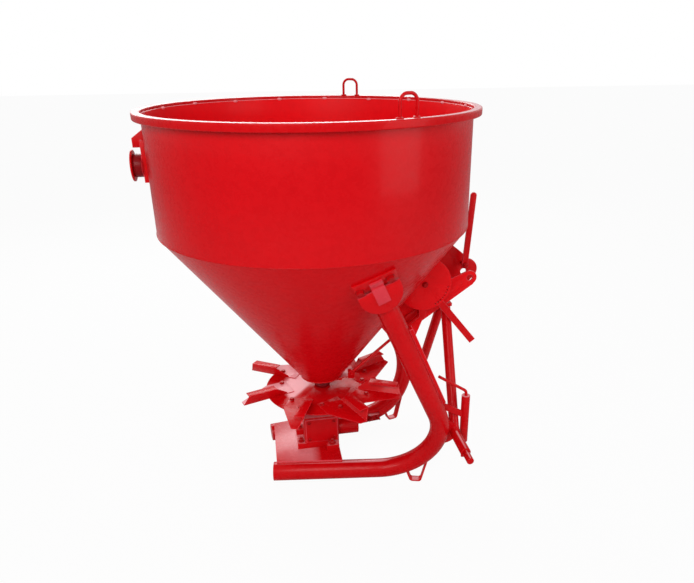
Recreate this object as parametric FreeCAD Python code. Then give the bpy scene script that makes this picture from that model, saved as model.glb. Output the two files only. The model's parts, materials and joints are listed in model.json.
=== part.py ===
"""Single-disc centrifugal fertilizer spreader for a tractor's three-point hitch.

Millimetres, +Z up, +X towards the tractor, +Y to the machine's left.
Shapes are built with the hopper's axis at X = 0 and are then moved back along X by
FRAME_SHIFT, so that the origin is on the floor under the middle of the overall length.
"""
import FreeCAD
import Part
import math
import os

from FreeCAD import Vector

# ---- hopper -----------------------------------------------------------------------------
HOPPER_R = 572.0            # outer radius of the cylindrical wall
HOPPER_WALL = 3.0
RIM_TOP_Z = 1492.0
RIM_WIDTH = 28.0
RIM_HEIGHT = 25.0
RIM_LIP = 12.0              # how far the wall's edge stays below the rim's top
JUNCTION_Z = 1080.0         # where wall and cone meet
OUTLET_Z = 419.0            # lower edge of the cone
OUTLET_R = 85.0
RIM_R = HOPPER_R + RIM_WIDTH

LUG_AZIMUTH = 67.2          # lifting lugs, degrees either side of the hitch direction
LUG_HEIGHT = 72.0
LUG_WIDTH = 60.0
LUG_BEND_R = 24.0
LUG_INSET = 8.0             # from the wall's outside to the lug's rod
LUG_ROD_R = 5.0

# ---- side tubes of the frame --------------------------------------------------------------
TUBE_R = 38.0
TUBE_WALL = 4.0
TUBE_LIFT = 16.0            # underside of the tubes above the floor
TUBE_HALF_GAP = 174.7       # tube axis to the middle plane at the hopper's axis
TUBE_SPLAY = 8.0            # degrees that each lower run points outwards
TUBE_REAR = 230.0           # lower run behind the hopper's axis
TUBE_CORNER = 555.0         # lower run's axis from the hopper's axis to the upper run's axis
TUBE_BEND_R = 238.6
TUBE_TOP_Z = 960.0          # the upper run aims at a point just inside the cone's skin
TUBE_TOP_AZIMUTH = 71.1
TUBE_TOP_IN = 12.6
TUBE_END_BELOW = 26.5       # upper run, from where the outer line meets the cone, before it is coped
COPE_GAP = 0.0
RIB_WIDTH = 26.0
RIB_THICKNESS = 12.0
RIB_START = 395.0           # along the upper run
RIB_LENGTH = 400.0

# ---- base plate and gearbox ---------------------------------------------------------------
PLATE_THICKNESS = 8.0
PLATE_REAR = 214.0
PLATE_FRONT = 56.0
BOX_REAR = 89.0
BOX_FRONT = 57.0
BOX_HALF_WIDTH = 75.0
BOX_HEIGHT = 148.0
FOOT_SIZE = 44.0
FOOT_HEIGHT = 26.0
FOOT_REAR_REACH = 31.0      # how far the feet stand out from the housing
FOOT_SIDE_REACH = 35.0
FOOT_SIDE_LENGTH = 53.0
BOX_CORNER_R = 8.0
COVER_INSET = 6.0
COVER_THICKNESS = 6.0
INPUT_Z = 148.0             # height of the input shaft
GUARD_R = 34.0
GUARD_WALL = 4.0
GUARD_LENGTH = 92.0
NOSE_LENGTH = 20.0           # bearing nose that the guard is bolted to
INPUT_JOURNAL_R = 22.0
INPUT_JOURNAL_IN = 34.0     # how far the shaft goes into the housing
INPUT_SHAFT_R = 17.46       # 1 3/8 inch power take-off shaft
INPUT_SHAFT_LENGTH = 64.0
COLUMN_R = 40.0             # bearing column on the gearbox
COLUMN_HEIGHT = 66.0
RUNNING_GAP = 0.05
BORE_END_GAP = 6.0          # between a shaft's inner end and the bottom of its bore

# ---- spinner ------------------------------------------------------------------------------
DISC_R = 235.0
DISC_TOP_Z = 364.0
DISC_THICKNESS = 5.0
HUB_R = 45.0
HUB_HEIGHT = 22.0
COLLAR_R = 31.5
COLLAR_HEIGHT = 10.0
SPINDLE_R = 15.0
SPINDLE_IN = 34.0           # how far the spindle goes into the gearbox
SPINDLE_ABOVE_OUTLET = 66.0
AGITATOR_REACH = 62.0
AGITATOR_R = 6.0
AGITATOR_FOOT = 14.0        # above the outlet's edge: sleeve, lower finger and upper finger
AGITATOR_LOW = 26.0
AGITATOR_HIGH = 50.0
AGITATOR_SLEEVE = 48.0
AGITATOR_SLEEVE_R = 22.0
# azimuths the vanes are bolted down at; they can be turned on the disc, so the steps differ
VANE_AZIMUTHS = (148.5, 199.0, 248.5, 293.5, 334.0, 28.0, 68.0, 108.0)
VANE_TIP = 343.0
VANE_ROOT = 160.0
VANE_ROOT_HEIGHT = 9.0
VANE_FLANGE_ROOT = 208.0
VANE_HEIGHT = 44.0
VANE_SHEET = 3.0
VANE_LEAN = 20.0            # how far the web's top stands behind its foot
VANE_TOP_WIDTH = 38.0
VANE_TOP_TILT = 4.0
VANE_FLOOR_IN = 128.0
VANE_FLOOR_ROOT = 98.0      # width of the floor at its inner end, at the disc's edge and at the tip
VANE_FLOOR_MIDDLE = 100.0
VANE_FLOOR_MIDDLE_R = 214.0
VANE_FLOOR_TIP = 28.0
VANE_RAKE = 18.0            # how much shorter the vane is at its top edge

# ---- outlet and shutter -------------------------------------------------------------------
OUTLET_PLATE = 4.0
SPINDLE_HOLE_GAP = 3.0
GATE_THICKNESS = 4.0
GATE_WIDTH = 96.0
GATE_FRONT = 134.0
GATE_REAR = 24.0
GATE_PLAY = 0.3
GATE_LUG_WIDTH = 28.0
GATE_LUG_SHEET = 6.0
GATE_EAR_WIDTH = 24.0
GATE_LUG_ABOVE = 12.0       # above the rod's pin
GUIDE_REAR = 10.0
GUIDE_LENGTH = 70.0
GUIDE_LIP = 6.0
GUIDE_SHEET = 3.0
GUIDE_WEB = 8.0
PORT_REAR = 34.0
PORT_FRONT = 72.0
PORT_WIDTH = 72.0
ROD_R = 6.0
ROD_Y = -66.0
ROD_EYE_R = 13.0
ROD_EYE_WIDTH = 14.0
ROD_PIN_R = 5.0
PIN_STANDS_OUT = 2.0        # pins and bolts past the piece that turns on them
EYE_SIDE_GAP = 1.0
ROD_FOOT_X = 118.0
ROD_FOOT_Z = 444.0
ROD_FOOT_GAP = 1.7          # the rod's lower eye is the opened pivot of the linkage

# ---- headstock ----------------------------------------------------------------------------
BOLT_R = 8.0
QUADRANT_OUT = 35.034       # from the cone's skin to the dosage lever's pivot, at the pivot's height
QUADRANT_Z = 818.0
QUADRANT_R = 108.0
QUADRANT_Y = -92.0          # outer face
QUADRANT_PLATE = 8.0
QUADRANT_HOLES = 8
QUADRANT_HOLE_R = 4.0
QUADRANT_HOLE_CIRCLE = 96.0
QUADRANT_FIRST_HOLE = -62.0  # degrees from the hitch direction, upwards
QUADRANT_LAST_HOLE = -10.0
LEVER_SIDE_GAP = 1.5
BOLT_HEAD = 6.0
LEVER_THICKNESS = 7.5
LEVER_WIDTH = 28.0
LEVER_REACH = 331.0
LEVER_ANGLE = -51.6         # of the hand arm, in the upright plane along the machine
CRANK_ARM = 134.0
CRANK_ANGLE = -92.0
HITCH_PLATE = 10.0
HITCH_HALF_GAP = 35.0       # middle plane to a hitch plate's inner face
HITCH_PLATE_LOW = 692.0
# outlines of the two headstock plates before they are coped to the cone, (x, z)
RIGHT_PLATE_OUTLINE = [(230, 650), (290, 570), (386, 557), (419, 641), (492, HITCH_PLATE_LOW), (632, 789),
                       (604, 844), (520, 812), (460, 905), (250, 905)]
LEFT_PLATE_OUTLINE = [(250, HITCH_PLATE_LOW), (558, HITCH_PLATE_LOW), (660, 792), (638, 869),
                      (590, 910), (552, 941), (512, 941), (250, 800)]
TOP_LINK_X = 614.0
TOP_LINK_Z = 816.0
TOP_LINK_R = 12.9           # takes a category 2 upper pin, 25.4
RIGHT_ARM_R = 30.0
LEFT_ARM_R = 47.0
LEFT_ARM_X = 626.0
LEFT_ARM_Z = 824.0
SPACER_LENGTH = 50.0        # centred on the legs' tops
SPACER_HEIGHT = 14.0
LEG_R = 20.0
LEG_TOP_OUT = 109.0         # in front of the dosage lever's pivot
LEG_TOP_Y = 24.0
LEG_FOOT_X = 505.0
LEG_FOOT_Y = 271.0
LOWER_HITCH_Z = 239.0
LEG_BEND_R = 45.0
LEG_TRIM = 50.0             # extra length at the top, cut off level with the plates' lower edge
SHOULDER_Y = 412.5          # category 2 lower hitch, 825 between the shoulders
LOWER_PIN_R = 14.0
LOWER_PIN_LENGTH = 55.0
LOWER_PIN_CHAMFER = 2.0
GUSSET_X = 462.0
GUSSET_Z = 248.0
GUSSET_R = 52.0
GUSSET_THICKNESS = 12.0
GUSSET_OUTWARD = 48.0       # outwards from midway between tube and leg

# ---- control lever ------------------------------------------------------------------------
CONTROL_X = 606.0
CONTROL_Z = 856.0
CONTROL_LENGTH = 288.0
CONTROL_WIDTH = 25.0
CONTROL_THICKNESS = 8.0
CONTROL_LEAN = 4.0          # degrees from upright, towards the tractor

# ---- latch on the right-hand side ----------------------------------------------------------
LATCH_X = 552.0
LATCH_Y = -250.0
SLEEVE_R = 17.0
SLEEVE_LOW = 179.0
SLEEVE_HEIGHT = 214.0
LATCH_ROD_R = 6.0
LATCH_ROD_LOW = 98.0
LATCH_HANDLE_X = 436.0
LATCH_HANDLE_Z = 491.0
LATCH_BEND_ABOVE = 20.0     # bend above the sleeve
LATCH_BEND_R = 18.0
LATCH_PIN_UP = 14.0         # cross pin above the rod's end
LATCH_CROSS_PIN_R = 3.0
LATCH_CROSS_PIN_LENGTH = 36.0
LATCH_ARM_HEIGHT = 30.0
LATCH_ARM_X = 415.0
LATCH_ARM_Y = -298.0
LATCH_ARM_REAR_Z = 402.0
LATCH_ARM_FRONT_Z = 306.0
LATCH_ARM_THICKNESS = 10.0
LATCH_ARM_OVERLAP = 8.0     # into the sleeve

# ---- rest loops ---------------------------------------------------------------------------
LOOP_STRAP = 5.0
LOOP_WIDTH = 30.0
LOOP_REAR = 309.0
LOOP_FRONT = 404.0
LOOP_FLOOR_REAR = 336.0
LOOP_FLOOR_FRONT = 376.0
LOOP_REAR_HIGH = 80.0
LOOP_FRONT_HIGH = 120.0
LOOP_BEND_R = 12.0
LOOP_OUTWARD = 62.0         # from the tube's line at the hopper's axis to the strap's middle
LOOP_SPLAY = 16.0

# ---- rear marker --------------------------------------------------------------------------
MARKER_Z = 1305.0
MARKER_R = 54.0
MARKER_THICKNESS = 6.0
MARKER_STANDS_OUT = 55.0    # from the hopper's wall to the marker's rear face
MARKER_X = -HOPPER_R - MARKER_STANDS_OUT
MARKER_CHANNEL_WIDTH = 50.0
MARKER_CHANNEL_DEPTH = 18.0
MARKER_CHANNEL_LOW = 1248.0
MARKER_CHANNEL_HIGH = 1392.0
MARKER_SHEET = 4.0
MARKER_COPE = 12.0          # extra length, coped to the wall
MARKER_STEM_R = 40.0        # drum between the marker and its channel
HOOD_SHEET = 6.0            # fin over the marker
HOOD_TOP = 1440.0
HOOD_LOW = 1366.0
HOOD_STANDS_OUT = 46.0
HOOD_LIP = 32.0

BRACKET_R = 74.0            # half-round plates that close the tubes' tops
BRACKET_THICKNESS = 8.0
BRACKET_BELOW_CONE = 48.5   # along the upper run, from where the tube's outer line meets the cone
BRACKET_PAD_HEIGHT = 56.0
STRAP_WIDTH = 44.0
BRACKET_FOLD = 20.0         # from the half-round's centre up to the fold
BRACKET_LAP = 12.0          # by which pad and strap pass the fold
STRAP_LAP = 6.0
STRAP_DOWN = 32.0           # strap below the half-round's centre
STRAP_UP = 38.0             # strap above the fold
BRACKET_REACH = (-60.0, 160.0)  # how far in and out the pad's layer is looked for

FRAME_SHIFT = (LEFT_ARM_X + LEFT_ARM_R + MARKER_X) / 2

UP = Vector(0, 0, 1)
RIGHT = -1
LEFT = 1


# ---- small helpers ------------------------------------------------------------------------
def save(shape, name):
    shape = shape.copy()
    shape.translate(Vector(-FRAME_SHIFT, 0, 0))
    shape.exportStep("parts/" + name + ".step")


def mirrored(shape):
    return shape.mirror(Vector(0, 0, 0), Vector(0, 1, 0))


def for_side(shape, side):
    """Shapes are modelled on the machine's right-hand side."""
    return shape if side == RIGHT else mirrored(shape)


def cone_radius(z, offset=0.0):
    """Outer radius of the cone at a height, offset along its surface normal."""
    slope = (HOPPER_R - OUTLET_R) / (JUNCTION_Z - OUTLET_Z)
    return OUTLET_R + (z - OUTLET_Z) * slope + offset * math.hypot(1.0, slope)


def cone_solid(offset=0.0, low=OUTLET_Z, high=JUNCTION_Z):
    return Part.makeCone(cone_radius(low, offset), cone_radius(high, offset), high - low, Vector(0, 0, low))


def hopper_solid(offset=0.0):
    """Everything inside the hopper's outer skin, grown by the offset."""
    drum = Part.makeCylinder(HOPPER_R + offset, RIM_TOP_Z - JUNCTION_Z, Vector(0, 0, JUNCTION_Z))
    return cone_solid(offset).fuse(drum)


def prism(points, direction):
    """A flat outline of 3-D points, extruded."""
    closed = points + [points[0]]
    return Part.Face(Part.makePolygon(closed)).extrude(direction)


def ring(outer, inner, z, height):
    return Part.makeCylinder(outer, height, Vector(0, 0, z)).cut(
        Part.makeCylinder(inner, height, Vector(0, 0, z)))


def rounded_path(points, radius):
    """Straight runs through the points, joined by tangent arcs."""
    edges = []
    start = points[0]
    for before, corner, after in zip(points, points[1:], points[2:]):
        to_corner = (corner - before).normalize()
        from_corner = (after - corner).normalize()
        turn = to_corner.getAngle(from_corner)
        setback = radius * math.tan(turn / 2)
        inward = (from_corner - to_corner).normalize()
        centre = corner + inward * (radius / math.cos(turn / 2))
        arc_start = corner - to_corner * setback
        arc_end = corner + from_corner * setback
        edges.append(Part.LineSegment(start, arc_start).toShape())
        edges.append(Part.Arc(arc_start, centre - inward * radius, arc_end).toShape())
        start = arc_end
    edges.append(Part.LineSegment(start, points[-1]).toShape())
    return Part.Wire(edges)


def rod(points, radius, bend_radius=0.0):
    """A round bar along a rounded path."""
    direction = points[1] - points[0]
    if len(points) == 2:
        return Part.makeCylinder(radius, direction.Length, points[0], direction)
    path = rounded_path(points, bend_radius)
    section = Part.Wire(Part.makeCircle(radius, points[0], direction))
    return path.makePipeShell([section], True, False)


def cylinder_y(radius, x, z, low_y, high_y):
    return Part.makeCylinder(radius, high_y - low_y, Vector(x, low_y, z), Vector(0, 1, 0))


# ---- hopper -------------------------------------------------------------------------------
def hopper_shell():
    return ring(HOPPER_R, HOPPER_R - HOPPER_WALL, JUNCTION_Z, RIM_TOP_Z - RIM_LIP - JUNCTION_Z)


def hopper_cone():
    outer = cone_solid()
    inner = Part.makeCone(OUTLET_R - HOPPER_WALL, HOPPER_R - HOPPER_WALL, JUNCTION_Z - OUTLET_Z,
                          Vector(0, 0, OUTLET_Z))
    return outer.cut(inner)


def hopper_rim():
    return ring(RIM_R, HOPPER_R, RIM_TOP_Z - RIM_HEIGHT, RIM_HEIGHT)


def lifting_lug(side):
    azimuth = math.radians(-LUG_AZIMUTH)
    middle_r = HOPPER_R + LUG_INSET
    middle = Vector(middle_r * math.cos(azimuth), middle_r * math.sin(azimuth), RIM_TOP_Z)
    along = Vector(-math.sin(azimuth), math.cos(azimuth), 0) * (LUG_WIDTH / 2)
    rise = UP * (LUG_HEIGHT - LUG_ROD_R)
    corners = [middle - along, middle - along + rise, middle + along + rise, middle + along]
    return for_side(rod(corners, LUG_ROD_R, LUG_BEND_R), side)


# ---- side tubes ---------------------------------------------------------------------------
def tube_axis_z():
    return TUBE_LIFT + TUBE_R


def lower_direction():
    splay = math.radians(TUBE_SPLAY)
    return Vector(math.cos(splay), -math.sin(splay), 0)


def tube_corner():
    return Vector(0, -TUBE_HALF_GAP, tube_axis_z()) + lower_direction() * TUBE_CORNER


def upper_direction():
    azimuth = math.radians(TUBE_TOP_AZIMUTH)
    radius = cone_radius(TUBE_TOP_Z) - TUBE_TOP_IN
    top = Vector(radius * math.cos(azimuth), -radius * math.sin(azimuth), TUBE_TOP_Z)
    return (top - tube_corner()).normalize()


def cone_meets_tube():
    """Distance along the upper run at which the tube's outer line reaches the cone."""
    along, outward, across = upper_frame()
    low, high = 0.0, RIM_TOP_Z / along.z
    for halving in range(60):
        middle = (low + high) / 2
        point = tube_corner() + along * middle + outward * TUBE_R
        if math.hypot(point.x, point.y) > min(cone_radius(point.z), HOPPER_R):
            low = middle
        else:
            high = middle
    return low


def tube_points():
    rear = Vector(0, -TUBE_HALF_GAP, tube_axis_z()) - lower_direction() * TUBE_REAR
    return [rear, tube_corner(), tube_corner() + upper_direction() * (cone_meets_tube() - TUBE_END_BELOW)]


def tube_bar(radius, end_wall=0.0):
    low, corner, high = tube_points()
    low = low + lower_direction() * end_wall
    high = high - upper_direction() * end_wall
    return rod([low, corner, high], radius, TUBE_BEND_R)


def side_tube(side):
    pipe = tube_bar(TUBE_R).cut(tube_bar(TUBE_R - TUBE_WALL, TUBE_WALL))
    return for_side(pipe.cut(hopper_solid(COPE_GAP)), side)


def upper_frame():
    """Unit vectors of the upper run: outwards from the machine, and across the tube."""
    along = upper_direction()
    outward = Vector(0, -1, 0)
    outward = (outward - along * outward.dot(along)).normalize()
    across = along.cross(outward)
    return along, outward, across


def tube_rib(side):
    along, outward, across = upper_frame()
    start = tube_points()[1] + along * RIB_START
    half = outward * (RIB_WIDTH / 2)
    reach = TUBE_R + RIB_THICKNESS
    outline = [start - half, start + half, start + half + across * reach, start - half + across * reach]
    bar = prism(outline, along * RIB_LENGTH)
    return for_side(bar.cut(tube_bar(TUBE_R)), side)



# ---- brackets at the tubes' tops ------------------------------------------------------------
def bracket_point(across_by, along_by, outward_by):
    along, outward, across = upper_frame()
    return tube_points()[1] + across * across_by + along * along_by + outward * outward_by


def bracket_box(half_width, low, high, inner, outer):
    """A block in the upper run's own directions."""
    along, outward, across = upper_frame()
    corners = [bracket_point(-half_width, low, inner), bracket_point(half_width, low, inner),
               bracket_point(half_width, high, inner), bracket_point(-half_width, high, inner)]
    return prism(corners, outward * (outer - inner))


def bracket_centre():
    return cone_meets_tube() - BRACKET_BELOW_CONE


def frame_bracket(side):
    """Half-round plate on the tube's outer side, folded over onto the cone, with a strap."""
    along, outward, across = upper_frame()
    centre = bracket_centre()
    fold = centre + BRACKET_FOLD
    left = bracket_point(-BRACKET_R, centre, TUBE_R)
    lowest = bracket_point(0, centre - BRACKET_R, TUBE_R)
    right = bracket_point(BRACKET_R, centre, TUBE_R)
    edges = [Part.Arc(left, lowest, right).toShape(),
             Part.LineSegment(right, bracket_point(BRACKET_R, fold, TUBE_R)).toShape(),
             Part.LineSegment(bracket_point(BRACKET_R, fold, TUBE_R),
                              bracket_point(-BRACKET_R, fold, TUBE_R)).toShape(),
             Part.LineSegment(bracket_point(-BRACKET_R, fold, TUBE_R), left).toShape()]
    web = Part.Face(Part.Wire(edges)).extrude(outward * BRACKET_THICKNESS)
    web = web.cut(hopper_solid())
    layer = hopper_solid(BRACKET_THICKNESS).cut(hopper_solid())
    pad = layer.common(bracket_box(BRACKET_R, fold - BRACKET_LAP, fold + BRACKET_PAD_HEIGHT, *BRACKET_REACH))
    outer_layer = hopper_solid(2 * BRACKET_THICKNESS).cut(hopper_solid(BRACKET_THICKNESS))
    strap_top = outer_layer.common(bracket_box(STRAP_WIDTH / 2, fold - STRAP_LAP, fold + STRAP_UP,
                                               *BRACKET_REACH))
    strap = bracket_box(STRAP_WIDTH / 2, centre - STRAP_DOWN, fold + BRACKET_LAP,
                        TUBE_R + BRACKET_THICKNESS, TUBE_R + 2 * BRACKET_THICKNESS)
    strap = strap.cut(hopper_solid(BRACKET_THICKNESS))
    bracket = web.fuse([pad, strap_top, strap]).removeSplitter().cut(tube_bar(TUBE_R))
    return for_side(bracket, side)


# ---- base plate and gearbox -----------------------------------------------------------------
def plate_z():
    return tube_axis_z() + TUBE_R


def box_z():
    return plate_z() + PLATE_THICKNESS


def base_plate():
    spread = math.tan(math.radians(TUBE_SPLAY))
    rear = TUBE_HALF_GAP - PLATE_REAR * spread
    front = TUBE_HALF_GAP + PLATE_FRONT * spread
    corners = [Vector(-PLATE_REAR, -rear, plate_z()), Vector(PLATE_FRONT, -front, plate_z()),
               Vector(PLATE_FRONT, front, plate_z()), Vector(-PLATE_REAR, rear, plate_z())]
    return prism(corners, UP * PLATE_THICKNESS)


def gearbox_housing():
    length = BOX_REAR + BOX_FRONT
    box = Part.makeBox(length, 2 * BOX_HALF_WIDTH, BOX_HEIGHT, Vector(-BOX_REAR, -BOX_HALF_WIDTH, box_z()))
    box = box.makeFillet(BOX_CORNER_R, [edge for edge in box.Edges if abs(edge.tangentAt(0).z) > 0.9])
    column = Part.makeCylinder(COLUMN_R, COLUMN_HEIGHT, Vector(0, 0, box_z() + BOX_HEIGHT))
    shapes = [column]
    for y in (-BOX_HALF_WIDTH, BOX_HALF_WIDTH - FOOT_SIZE):
        shapes.append(Part.makeBox(FOOT_SIZE, FOOT_SIZE, FOOT_HEIGHT,
                                   Vector(-BOX_REAR - FOOT_REAR_REACH, y, box_z())))
    for y in (-BOX_HALF_WIDTH - FOOT_SIDE_REACH, BOX_HALF_WIDTH + FOOT_SIDE_REACH - FOOT_SIZE):
        shapes.append(Part.makeBox(FOOT_SIDE_LENGTH, FOOT_SIZE, FOOT_HEIGHT, Vector(0, y, box_z())))
    shapes.append(Part.makeCylinder(GUARD_R, NOSE_LENGTH, Vector(BOX_FRONT, 0, INPUT_Z), Vector(1, 0, 0)))
    housing = box.fuse(shapes).removeSplitter()
    spindle_in = SPINDLE_IN + BORE_END_GAP
    spindle_bore = Part.makeCylinder(SPINDLE_R + RUNNING_GAP, COLUMN_HEIGHT + spindle_in,
                                     Vector(0, 0, box_z() + BOX_HEIGHT - spindle_in))
    bore_in = INPUT_JOURNAL_IN + BORE_END_GAP
    input_bore = Part.makeCylinder(INPUT_JOURNAL_R + RUNNING_GAP, bore_in + NOSE_LENGTH,
                                   Vector(BOX_FRONT - bore_in, 0, INPUT_Z), Vector(1, 0, 0))
    return housing.cut([spindle_bore, input_bore])


def gearbox_cover():
    length = BOX_REAR + BOX_FRONT - 2 * COVER_INSET
    low = FOOT_HEIGHT + COVER_INSET
    return Part.makeBox(length, COVER_THICKNESS, BOX_HEIGHT - low - COVER_INSET,
                        Vector(-BOX_REAR + COVER_INSET, -BOX_HALF_WIDTH - COVER_THICKNESS, box_z() + low))


def input_guard():
    tube = Part.makeCylinder(GUARD_R + GUARD_WALL, GUARD_LENGTH, Vector(BOX_FRONT, 0, INPUT_Z),
                             Vector(1, 0, 0))
    bore = Part.makeCylinder(GUARD_R, GUARD_LENGTH, Vector(BOX_FRONT, 0, INPUT_Z), Vector(1, 0, 0))
    return tube.cut(bore)


def input_shaft():
    journal = Part.makeCylinder(INPUT_JOURNAL_R, INPUT_JOURNAL_IN + NOSE_LENGTH,
                                Vector(BOX_FRONT - INPUT_JOURNAL_IN, 0, INPUT_Z), Vector(1, 0, 0))
    stub = Part.makeCylinder(INPUT_SHAFT_R, INPUT_SHAFT_LENGTH,
                             Vector(BOX_FRONT + NOSE_LENGTH, 0, INPUT_Z), Vector(1, 0, 0))
    return journal.fuse(stub)


# ---- spinner ------------------------------------------------------------------------------
def spinner_spindle():
    low = box_z() + BOX_HEIGHT - SPINDLE_IN
    shaft = Part.makeCylinder(SPINDLE_R, OUTLET_Z + SPINDLE_ABOVE_OUTLET - low, Vector(0, 0, low))
    hub = Part.makeCylinder(HUB_R, HUB_HEIGHT, Vector(0, 0, DISC_TOP_Z - DISC_THICKNESS - HUB_HEIGHT))
    collar = Part.makeCylinder(COLLAR_R, COLLAR_HEIGHT, Vector(0, 0, DISC_TOP_Z))
    return shaft.fuse([hub, collar]).removeSplitter()


def spinner_disc():
    return ring(DISC_R, SPINDLE_R, DISC_TOP_Z - DISC_THICKNESS, DISC_THICKNESS)


def vane():
    """One vane along +X: floor on the disc, upright web, top flange leaning down from the web."""
    def at(r, t, z):
        return Vector(r, t, DISC_TOP_Z + z)
    floor = prism([at(VANE_FLOOR_IN, 0, 0), at(VANE_TIP, 0, 0), at(VANE_TIP, -VANE_FLOOR_TIP, 0),
                   at(VANE_FLOOR_MIDDLE_R, -VANE_FLOOR_MIDDLE, 0), at(VANE_FLOOR_IN, -VANE_FLOOR_ROOT, 0)],
                  UP * VANE_SHEET)
    top = VANE_HEIGHT
    lean = math.atan2(VANE_LEAN, top)
    web = prism([at(VANE_ROOT, 0, 0), at(VANE_TIP, 0, 0), at(VANE_TIP - VANE_RAKE, VANE_LEAN, top),
                 at(VANE_FLANGE_ROOT, VANE_LEAN, top),
                 at(VANE_ROOT, VANE_ROOT_HEIGHT * math.tan(lean), VANE_ROOT_HEIGHT)],
                Vector(0, -math.cos(lean), math.sin(lean)) * VANE_SHEET)
    drop = VANE_TOP_WIDTH * math.sin(math.radians(VANE_TOP_TILT))
    reach = VANE_TOP_WIDTH * math.cos(math.radians(VANE_TOP_TILT))
    flange = prism([at(VANE_FLANGE_ROOT, VANE_LEAN, top), at(VANE_TIP - VANE_RAKE, VANE_LEAN, top),
                    at(VANE_TIP - VANE_RAKE, VANE_LEAN - reach, top - drop),
                    at(VANE_FLANGE_ROOT, VANE_LEAN - reach, top - drop)], UP * VANE_SHEET)
    return floor.fuse([web, flange]).removeSplitter()


def spinner_vanes():
    vanes = []
    for azimuth in VANE_AZIMUTHS:
        copy = vane()
        copy.rotate(Vector(0, 0, 0), UP, azimuth)
        vanes.append(copy)
    return Part.makeCompound(vanes)


def agitator():
    low = Part.makeCylinder(AGITATOR_R, 2 * AGITATOR_REACH,
                            Vector(-AGITATOR_REACH, 0, OUTLET_Z + AGITATOR_LOW), Vector(1, 0, 0))
    high = Part.makeCylinder(AGITATOR_R, 2 * AGITATOR_REACH,
                             Vector(0, -AGITATOR_REACH, OUTLET_Z + AGITATOR_HIGH), Vector(0, 1, 0))
    sleeve = ring(AGITATOR_SLEEVE_R, SPINDLE_R, OUTLET_Z + AGITATOR_FOOT, AGITATOR_SLEEVE)
    bore = Part.makeCylinder(SPINDLE_R, AGITATOR_SLEEVE, Vector(0, 0, OUTLET_Z + AGITATOR_FOOT))
    return sleeve.fuse([low, high]).removeSplitter().cut(bore)


# ---- outlet -------------------------------------------------------------------------------
def outlet_plate():
    plate = Part.makeCylinder(OUTLET_R, OUTLET_PLATE, Vector(0, 0, OUTLET_Z - OUTLET_PLATE))
    port = Part.makeBox(PORT_FRONT - PORT_REAR, PORT_WIDTH, OUTLET_PLATE,
                        Vector(PORT_REAR, -PORT_WIDTH / 2, OUTLET_Z - OUTLET_PLATE))
    spindle_hole = Part.makeCylinder(SPINDLE_R + SPINDLE_HOLE_GAP, OUTLET_PLATE,
                                     Vector(0, 0, OUTLET_Z - OUTLET_PLATE))
    return plate.cut([port, spindle_hole])


def gate_top_z():
    return OUTLET_Z - OUTLET_PLATE - GATE_PLAY


def shutter_gate():
    low = gate_top_z() - GATE_THICKNESS
    plate = Part.makeBox(GATE_FRONT - GATE_REAR, GATE_WIDTH, GATE_THICKNESS,
                         Vector(GATE_REAR, -GATE_WIDTH / 2, low))
    lug_y = ROD_Y + ROD_EYE_WIDTH / 2 + EYE_SIDE_GAP
    lug_rear = ROD_FOOT_X - GATE_LUG_WIDTH / 2
    ear = Part.makeBox(GATE_LUG_WIDTH, GATE_EAR_WIDTH, GATE_THICKNESS, Vector(lug_rear, lug_y, low))
    lug = Part.makeBox(GATE_LUG_WIDTH, GATE_LUG_SHEET, ROD_FOOT_Z + GATE_LUG_ABOVE - low,
                       Vector(lug_rear, lug_y, low))
    pin = cylinder_y(ROD_PIN_R, ROD_FOOT_X, ROD_FOOT_Z, ROD_Y - ROD_EYE_WIDTH / 2 - PIN_STANDS_OUT, lug_y)
    return plate.fuse([ear, lug, pin]).removeSplitter()


def gate_guides():
    """Two channels under the outlet plate that hold the gate's edges."""
    rails = []
    inner = GATE_WIDTH / 2 + GATE_PLAY - GUIDE_LIP
    slot_low = gate_top_z() - GATE_THICKNESS - GATE_PLAY
    low = slot_low - GUIDE_SHEET
    for side in (RIGHT, LEFT):
        block = Part.makeBox(GUIDE_LENGTH, GUIDE_LIP + GUIDE_WEB, OUTLET_Z - OUTLET_PLATE - low,
                             Vector(GUIDE_REAR, inner, low))
        slot = Part.makeBox(GUIDE_LENGTH, GUIDE_LIP, GATE_THICKNESS + 2 * GATE_PLAY,
                            Vector(GUIDE_REAR, inner, slot_low))
        rail = block.cut(slot)
        rails.append(rail if side == LEFT else mirrored(rail))
    return Part.makeCompound(rails)


# ---- rod and levers -------------------------------------------------------------------------
def quadrant_x():
    return cone_radius(QUADRANT_Z) + QUADRANT_OUT


def crank_end():
    angle = math.radians(CRANK_ANGLE)
    return quadrant_x() + CRANK_ARM * math.cos(angle), QUADRANT_Z + CRANK_ARM * math.sin(angle)


def lever_y():
    """Outer face of the dosage lever, just inside the quadrant."""
    return QUADRANT_Y + QUADRANT_PLATE + LEVER_SIDE_GAP


def shutter_rod():
    top_x, top_z = crank_end()
    foot = Vector(ROD_FOOT_X, ROD_Y, ROD_FOOT_Z)
    head = Vector(top_x, ROD_Y, top_z)
    bar = rod([foot, head], ROD_R)
    low, high = ROD_Y - ROD_EYE_WIDTH / 2, ROD_Y + ROD_EYE_WIDTH / 2
    eyes = [cylinder_y(ROD_EYE_R, ROD_FOOT_X, ROD_FOOT_Z, low, high),
            cylinder_y(ROD_EYE_R, top_x, top_z, low, high)]
    bores = [cylinder_y(ROD_PIN_R + ROD_FOOT_GAP, ROD_FOOT_X, ROD_FOOT_Z, low, high),
             cylinder_y(ROD_PIN_R + RUNNING_GAP, top_x, top_z, low, high)]
    return bar.fuse(eyes).removeSplitter().cut(bores)


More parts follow.
